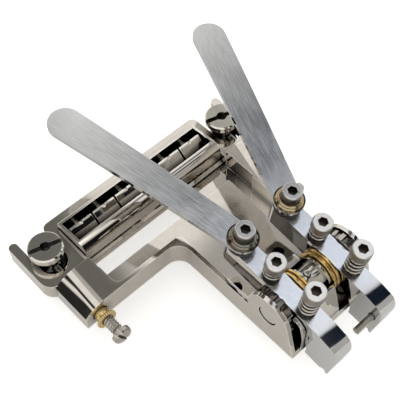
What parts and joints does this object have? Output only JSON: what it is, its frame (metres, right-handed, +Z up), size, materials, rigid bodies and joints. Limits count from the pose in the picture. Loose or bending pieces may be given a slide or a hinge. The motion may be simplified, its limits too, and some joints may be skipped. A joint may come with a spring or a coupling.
{
  "type": "guitar string bender",
  "caption": "Saddle bar on two studs with two palm levers behind it that raise the pitch of single strings when they are pressed.",
  "frame": {"origin": "midway between the two stud axes, level with the underside of the frame", "axes": "+X along the strings away from the neck, +Y across the strings towards the far stud, +Z up out of the guitar's top"},
  "size_m": [0.1218, 0.1069, 0.0461],
  "materials": {
    "nickel": "polished nickel plate",
    "steel": "plated steel",
    "lever_aluminium": "polished",
    "handle_aluminium": "brushed",
    "brass": "turned",
    "zinc": "pale yellow plate",
    "pad": "matt black"
  },
  "bodies": {
    "frame": {"mounting_frame": "nickel", "saddle_bar": "nickel", "stud_near": "steel", "stud_far": "steel", "position_bush_near": "brass", "position_bush_far": "brass", "axle": "steel", "axle_sleeve": "steel", "sleeve_screw": "steel"},
    "lever_near": {"lever_near": "lever_aluminium", "bush_near": "brass", "handle_bolt_near": "steel", "handle_pad_near": "pad", "lock_washer_near": "steel", "cup_washer_near": "zinc", "string_pin_near": "steel", "front_spring_near": "steel", "rear_spring_near": "steel"},
    "handle_near": {"handle_near": "handle_aluminium"},
    "front_stop_near": {"front_stop_near": "steel"},
    "rear_stop_near": {"rear_stop_near": "steel"},
    "side_bearing_near": {"side_bearing_near": "steel"},
    "position_screw_near": {"position_screw_near": "steel"},
    "lever_far": {"lever_far": "lever_aluminium", "bush_far": "brass", "handle_bolt_far": "steel", "handle_pad_far": "pad", "lock_washer_far": "steel", "cup_washer_far": "zinc", "string_pin_far": "steel", "front_spring_far": "steel", "rear_spring_far": "steel"},
    "handle_far": {"handle_far": "handle_aluminium"},
    "front_stop_far": {"front_stop_far": "steel"},
    "rear_stop_far": {"rear_stop_far": "steel"},
    "side_bearing_far": {"side_bearing_far": "steel"},
    "position_screw_far": {"position_screw_far": "steel"},
    "saddle_1": {"saddle_1": "steel"},
    "saddle_screw_1": {"saddle_screw_1": "steel"},
    "saddle_2": {"saddle_2": "steel"},
    "saddle_screw_2": {"saddle_screw_2": "steel"},
    "saddle_3": {"saddle_3": "steel"},
    "saddle_screw_3": {"saddle_screw_3": "steel"},
    "saddle_4": {"saddle_4": "steel"},
    "saddle_screw_4": {"saddle_screw_4": "steel"},
    "saddle_5": {"saddle_5": "steel"},
    "saddle_screw_5": {"saddle_screw_5": "steel"},
    "saddle_6": {"saddle_6": "steel"},
    "saddle_screw_6": {"saddle_screw_6": "steel"}
  },
  "joints": [
    {"name": "lever_press_near", "type": "hinge", "parent": "frame", "child": "lever_near", "pos_m": [0.0692, 0.0029, 0.0126], "axis": [0, -1, 0], "range_deg": [0, 8]},
    {"name": "handle_swivel_near", "type": "hinge", "parent": "lever_near", "child": "handle_near", "pos_m": [0.0485, 0.0029, 0.02197], "axis": [0.1392, 0, 0.9903], "range_deg": [-11.5, 28]},
    {"name": "front_stop_near", "type": "slide", "parent": "lever_near", "child": "front_stop_near", "axis": [0.1392, 0, 0.9903], "range_m": [0, 0.004], "deforming": ["front_spring_near"]},
    {"name": "rear_stop_near", "type": "slide", "parent": "lever_near", "child": "rear_stop_near", "axis": [0.1392, 0, 0.9903], "range_m": [0, 0.004], "deforming": ["rear_spring_near"]},
    {"name": "bearing_turn_near", "type": "hinge", "parent": "frame", "child": "side_bearing_near", "pos_m": [0.0692, 0.0029, 0.0126], "axis": [0, -1, 0], "range_deg": [0, 4]},
    {"name": "position_screw_near", "type": "slide", "parent": "frame", "child": "position_screw_near", "axis": [1, 0, 0], "range_m": [0, 0.005]},
    {"name": "lever_press_far", "type": "hinge", "parent": "frame", "child": "lever_far", "pos_m": [0.0692, 0.0241, 0.0126], "axis": [0, -1, 0], "range_deg": [0, 8]},
    {"name": "handle_swivel_far", "type": "hinge", "parent": "lever_far", "child": "handle_far", "pos_m": [0.0485, 0.0241, 0.02197], "axis": [0.1392, 0, 0.9903], "range_deg": [-18, 22]},
    {"name": "front_stop_far", "type": "slide", "parent": "lever_far", "child": "front_stop_far", "axis": [0.1392, 0, 0.9903], "range_m": [0, 0.004], "deforming": ["front_spring_far"]},
    {"name": "rear_stop_far", "type": "slide", "parent": "lever_far", "child": "rear_stop_far", "axis": [0.1392, 0, 0.9903], "range_m": [0, 0.004], "deforming": ["rear_spring_far"]},
    {"name": "bearing_turn_far", "type": "hinge", "parent": "frame", "child": "side_bearing_far", "pos_m": [0.0692, 0.0241, 0.0126], "axis": [0, -1, 0], "range_deg": [0, 4]},
    {"name": "position_screw_far", "type": "slide", "parent": "frame", "child": "position_screw_far", "axis": [1, 0, 0], "range_m": [0, 0.005]},
    {"name": "saddle_screw_turn_1", "type": "hinge", "parent": "frame", "child": "saddle_screw_1", "pos_m": [0, -0.02533, 0.0053], "axis": [1, 0, 0], "range_deg": [-1770, 970]},
    {"name": "saddle_slide_1", "type": "slide", "parent": "frame", "child": "saddle_1", "axis": [1, 0, 0], "range_m": [-0.0022, 0.0012]},
    {"name": "saddle_screw_turn_2", "type": "hinge", "parent": "frame", "child": "saddle_screw_2", "pos_m": [0, -0.0152, 0.0053], "axis": [1, 0, 0], "range_deg": [-1770, 970]},
    {"name": "saddle_slide_2", "type": "slide", "parent": "frame", "child": "saddle_2", "axis": [1, 0, 0], "range_m": [-0.0022, 0.0012]},
    {"name": "saddle_screw_turn_3", "type": "hinge", "parent": "frame", "child": "saddle_screw_3", "pos_m": [0, -0.00507, 0.0053], "axis": [1, 0, 0], "range_deg": [-1770, 970]},
    {"name": "saddle_slide_3", "type": "slide", "parent": "frame", "child": "saddle_3", "axis": [1, 0, 0], "range_m": [-0.0022, 0.0012]},
    {"name": "saddle_screw_turn_4", "type": "hinge", "parent": "frame", "child": "saddle_screw_4", "pos_m": [0, 0.00507, 0.0053], "axis": [1, 0, 0], "range_deg": [-1770, 970]},
    {"name": "saddle_slide_4", "type": "slide", "parent": "frame", "child": "saddle_4", "axis": [1, 0, 0], "range_m": [-0.0022, 0.0012]},
    {"name": "saddle_screw_turn_5", "type": "hinge", "parent": "frame", "child": "saddle_screw_5", "pos_m": [0, 0.0152, 0.0053], "axis": [1, 0, 0], "range_deg": [-1770, 970]},
    {"name": "saddle_slide_5", "type": "slide", "parent": "frame", "child": "saddle_5", "axis": [1, 0, 0], "range_m": [-0.0022, 0.0012]},
    {"name": "saddle_screw_turn_6", "type": "hinge", "parent": "frame", "child": "saddle_screw_6", "pos_m": [0, 0.02533, 0.0053], "axis": [1, 0, 0], "range_deg": [-1770, 970]},
    {"name": "saddle_slide_6", "type": "slide", "parent": "frame", "child": "saddle_6", "axis": [1, 0, 0], "range_m": [-0.0022, 0.0012]}
  ],
  "couplings": [
    {"joint": "bearing_turn_near", "follows": "lever_press_near", "ratio": 0.5},
    {"joint": "bearing_turn_far", "follows": "lever_press_far", "ratio": 0.5},
    {"joint": "saddle_screw_turn_1", "follows": "saddle_slide_1", "rad_per_m": 13963},
    {"joint": "saddle_screw_turn_2", "follows": "saddle_slide_2", "rad_per_m": 13963},
    {"joint": "saddle_screw_turn_3", "follows": "saddle_slide_3", "rad_per_m": 13963},
    {"joint": "saddle_screw_turn_4", "follows": "saddle_slide_4", "rad_per_m": 13963},
    {"joint": "saddle_screw_turn_5", "follows": "saddle_slide_5", "rad_per_m": 13963},
    {"joint": "saddle_screw_turn_6", "follows": "saddle_slide_6", "rad_per_m": 13963}
  ]
}
